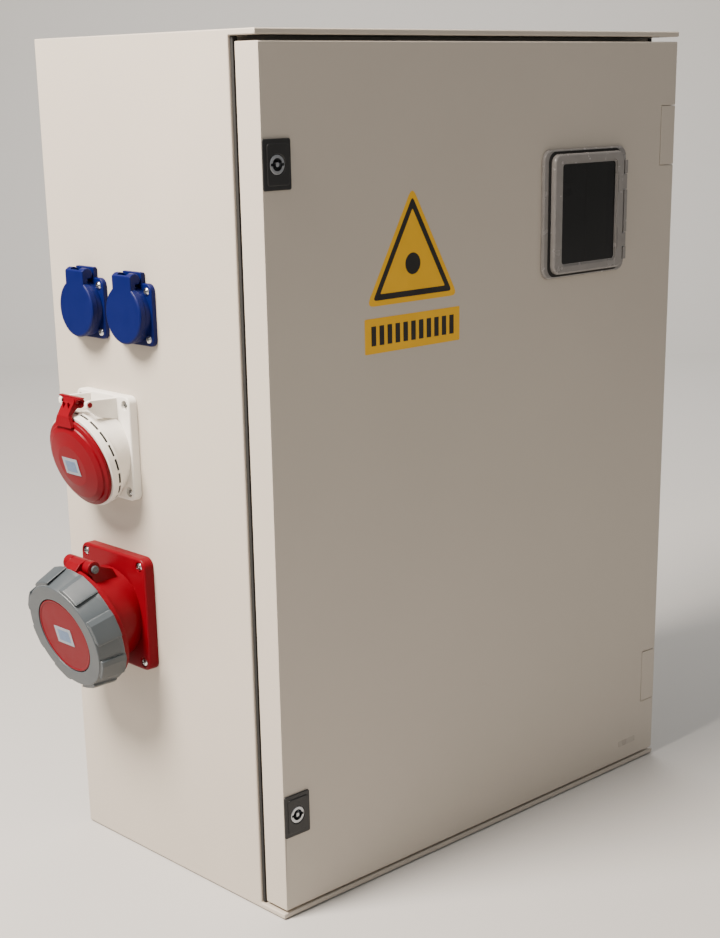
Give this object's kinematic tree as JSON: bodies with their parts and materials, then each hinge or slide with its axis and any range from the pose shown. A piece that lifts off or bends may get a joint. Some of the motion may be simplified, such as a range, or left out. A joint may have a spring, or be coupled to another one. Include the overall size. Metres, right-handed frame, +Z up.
{
  "type": "portable power distribution box",
  "caption": "Sheet-steel power distribution box with an overlay door, inspection window, locks, flap-lidded side sockets and modular switchgear inside.",
  "frame": {"origin": "centre of the body's underside, on the plane it stands on", "axes": "+Z up, -Y out of the door, -X out of the socket side"},
  "size_m": [0.6103, 0.2888, 0.7],
  "materials": {
    "shell_coat": "fine-textured light grey powder coat",
    "zinc": "zinc-plated steel",
    "black_plastic": "matt black moulding",
    "grey_plastic": "satin mid grey moulding",
    "white_plastic": "satin off-white moulding",
    "device_plastic": "pale grey switchgear moulding",
    "blue_plastic": "satin deep blue moulding",
    "earth_plastic": "green moulding",
    "red_plastic": "glossy signal red moulding",
    "pin_grey": "grey pin",
    "smoked_pane": "smoked polycarbonate",
    "seal_rubber": "black foamed seal",
    "lead_sheath": "black rubber sheath",
    "brass": "brass bar"
  },
  "bodies": {
    "enclosure": {"enclosure_shell": "shell_coat", "mounting_plate": "zinc", "upper_rail": "zinc", "lower_rail": "zinc", "rail_bracket_left": "zinc", "rail_bracket_right": "zinc", "touch_guard": "device_plastic", "breaker_16_left_body": "device_plastic", "breaker_16_right_body": "device_plastic", "breaker_32_body": "device_plastic", "breaker_63_body": "device_plastic", "residual_switch_body": "device_plastic", "phase_terminals": "grey_plastic", "neutral_terminal": "blue_plastic", "earth_terminal": "earth_plastic", "earth_bar": "brass", "wiring_duct": "grey_plastic", "hinge_body_leaf_upper": "zinc", "hinge_body_leaf_lower": "zinc", "schuko_rear_body": "blue_plastic", "schuko_front_body": "blue_plastic", "cee32_housing": "white_plastic", "cee32_pin": "red_plastic", "cee32_contact_carrier": "grey_plastic", "cee63_housing": "red_plastic", "cee63_contact_carrier": "black_plastic", "cee63_pin": "pin_grey", "gland_body": "grey_plastic", "gland_dome_nut": "grey_plastic", "lead_cee63": "lead_sheath", "lead_cee32": "lead_sheath", "lead_schuko_rear": "lead_sheath", "lead_schuko_front": "lead_sheath"},
    "door": {"door_panel": "shell_coat", "door_gasket": "seal_rubber", "hinge_door_leaf_upper": "shell_coat", "hinge_door_leaf_lower": "shell_coat", "hinge_pin_upper": "zinc", "hinge_pin_lower": "zinc", "lock_housing_upper": "black_plastic", "lock_housing_lower": "black_plastic", "window_frame": "grey_plastic", "window_pin": "zinc"},
    "upper_lock": {"lock_insert_upper": "zinc", "lock_cam_upper": "zinc"},
    "lower_lock": {"lock_insert_lower": "zinc", "lock_cam_lower": "zinc"},
    "window_cover": {"window_flap": "grey_plastic", "window_pane": "smoked_pane"},
    "schuko_rear_flap": {"schuko_rear_lid": "blue_plastic"},
    "schuko_front_flap": {"schuko_front_lid": "blue_plastic"},
    "cee32_flap": {"cee32_lid": "red_plastic"},
    "cee63_flap": {"cee63_lid": "red_plastic"},
    "cee63_ring": {"cee63_locking_ring": "grey_plastic"},
    "lever_16_left": {"breaker_16_left_lever": "blue_plastic"},
    "lever_16_right": {"breaker_16_right_lever": "blue_plastic"},
    "lever_32": {"breaker_32_lever": "blue_plastic"},
    "lever_63": {"breaker_63_lever": "blue_plastic"},
    "lever_residual": {"residual_switch_lever": "black_plastic"},
    "residual_test": {"test_button": "grey_plastic"}
  },
  "joints": [
    {"name": "door_hinge", "type": "hinge", "parent": "enclosure", "child": "door", "pos_m": [0.24, -0.14, 0.35], "axis": [0, 0, 1], "range_deg": [0, 115]},
    {"name": "upper_lock_turn", "type": "hinge", "parent": "door", "child": "upper_lock", "pos_m": [-0.2344, -0.14, 0.6058], "axis": [0, 1, 0], "range_deg": [0, 90]},
    {"name": "lower_lock_turn", "type": "hinge", "parent": "door", "child": "lower_lock", "pos_m": [-0.2344, -0.14, 0.0908], "axis": [0, 1, 0], "range_deg": [0, 90]},
    {"name": "window_cover_hinge", "type": "hinge", "parent": "door", "child": "window_cover", "pos_m": [0.1683, -0.1615, 0.55], "axis": [0, 0, 1], "range_deg": [0, 110]},
    {"name": "schuko_rear_hinge", "type": "hinge", "parent": "enclosure", "child": "schuko_rear_flap", "pos_m": [-0.2604, 0.0682, 0.5145], "axis": [0, 1, 0], "range_deg": [0, 100], "stiffness_Nm_per_rad": 0.012, "springref_deg": -22.92},
    {"name": "schuko_front_hinge", "type": "hinge", "parent": "enclosure", "child": "schuko_front_flap", "pos_m": [-0.2604, 0.0024, 0.5145], "axis": [0, 1, 0], "range_deg": [0, 100], "stiffness_Nm_per_rad": 0.012, "springref_deg": -22.92},
    {"name": "cee32_hinge", "type": "hinge", "parent": "enclosure", "child": "cee32_flap", "pos_m": [-0.285, 0.0485, 0.4135], "axis": [0, 1, 0], "range_deg": [0, 110], "stiffness_Nm_per_rad": 0.03, "springref_deg": -22.92},
    {"name": "cee63_hinge", "type": "hinge", "parent": "enclosure", "child": "cee63_flap", "pos_m": [-0.29151, 0.0467, 0.27497], "axis": [0, 1, 0], "range_deg": [0, 110]},
    {"name": "cee63_ring_turn", "type": "hinge", "parent": "cee63_flap", "child": "cee63_ring", "pos_m": [-0.2603, 0.0467, 0.2304], "axis": [-0.9703, 0, -0.2419], "range_deg": [0, 40]},
    {"name": "breaker_16_left_lever_turn", "type": "hinge", "parent": "enclosure", "child": "lever_16_left", "pos_m": [-0.0532, -0.109, 0.55], "axis": [1, 0, 0], "range_deg": [0, 50]},
    {"name": "breaker_16_right_lever_turn", "type": "hinge", "parent": "enclosure", "child": "lever_16_right", "pos_m": [-0.0352, -0.109, 0.55], "axis": [1, 0, 0], "range_deg": [0, 50]},
    {"name": "breaker_32_lever_turn", "type": "hinge", "parent": "enclosure", "child": "lever_32", "pos_m": [0.0008, -0.109, 0.55], "axis": [1, 0, 0], "range_deg": [0, 50]},
    {"name": "breaker_63_lever_turn", "type": "hinge", "parent": "enclosure", "child": "lever_63", "pos_m": [0.0548, -0.109, 0.55], "axis": [1, 0, 0], "range_deg": [0, 50]},
    {"name": "residual_lever_turn", "type": "hinge", "parent": "enclosure", "child": "lever_residual", "pos_m": [0.1178, -0.109, 0.55], "axis": [1, 0, 0], "range_deg": [0, 50]},
    {"name": "test_button_press", "type": "slide", "parent": "enclosure", "child": "residual_test", "axis": [0, 1, 0], "range_m": [0, 0.0015], "stiffness_N_per_m": 250, "springref_m": -0.001}
  ]
}
